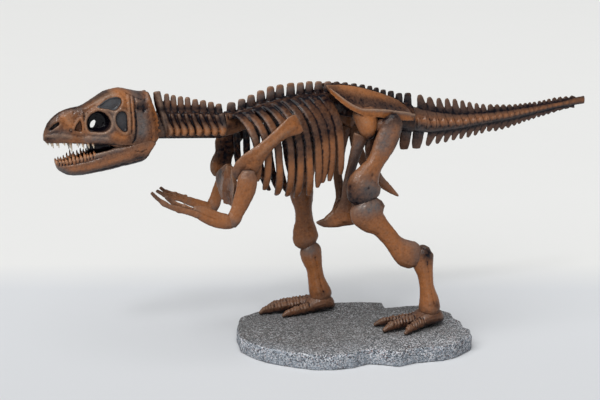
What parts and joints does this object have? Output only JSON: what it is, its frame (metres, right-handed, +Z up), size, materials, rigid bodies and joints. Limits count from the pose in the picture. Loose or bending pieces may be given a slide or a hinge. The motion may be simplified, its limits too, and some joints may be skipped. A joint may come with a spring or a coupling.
{
  "type": "dinosaur skeleton statue",
  "caption": "Still cast model of a walking two-legged meat-eating dinosaur's skeleton, feet fixed to a flat sculpted stone-look base.",
  "frame": {"origin": "on the base's flat underside, in the skeleton's mid-plane, midway between the two feet", "axes": "+X from the snout towards the tail tip; -Y towards the animal's left side; +Z up"},
  "size_m": [1.909, 0.57, 0.9065],
  "materials": {
    "bone_brown": "hand-stained cast resin, semi-gloss varnish",
    "bone_grey": "grey-shaded cast resin, semi-gloss varnish",
    "stone": "speckled stone-look resin, matt"
  },
  "bodies": {
    "root": {"base": "stone", "skull": "bone_brown", "lower_jaw": "bone_brown", "neck": "bone_brown", "trunk_spine": "bone_grey", "ribs_left": "bone_brown", "ribs_right": "bone_brown", "scapula_left": "bone_brown", "scapula_right": "bone_brown", "humerus_left": "bone_brown", "humerus_right": "bone_brown", "forearm_left": "bone_brown", "forearm_right": "bone_brown", "hand_left": "bone_brown", "hand_right": "bone_brown", "chest_plate": "bone_grey", "sacrum": "bone_grey", "ilium_left": "bone_brown", "ilium_right": "bone_brown", "pubis": "bone_grey", "ischium": "bone_grey", "femur_left": "bone_brown", "femur_right": "bone_brown", "tibia_left": "bone_brown", "tibia_right": "bone_brown", "metatarsus_left": "bone_brown", "metatarsus_right": "bone_brown", "foot_left": "bone_brown", "foot_right": "bone_brown", "tail_1": "bone_brown", "tail_2": "bone_brown", "tail_3": "bone_brown"}
  },
  "joints": []
}
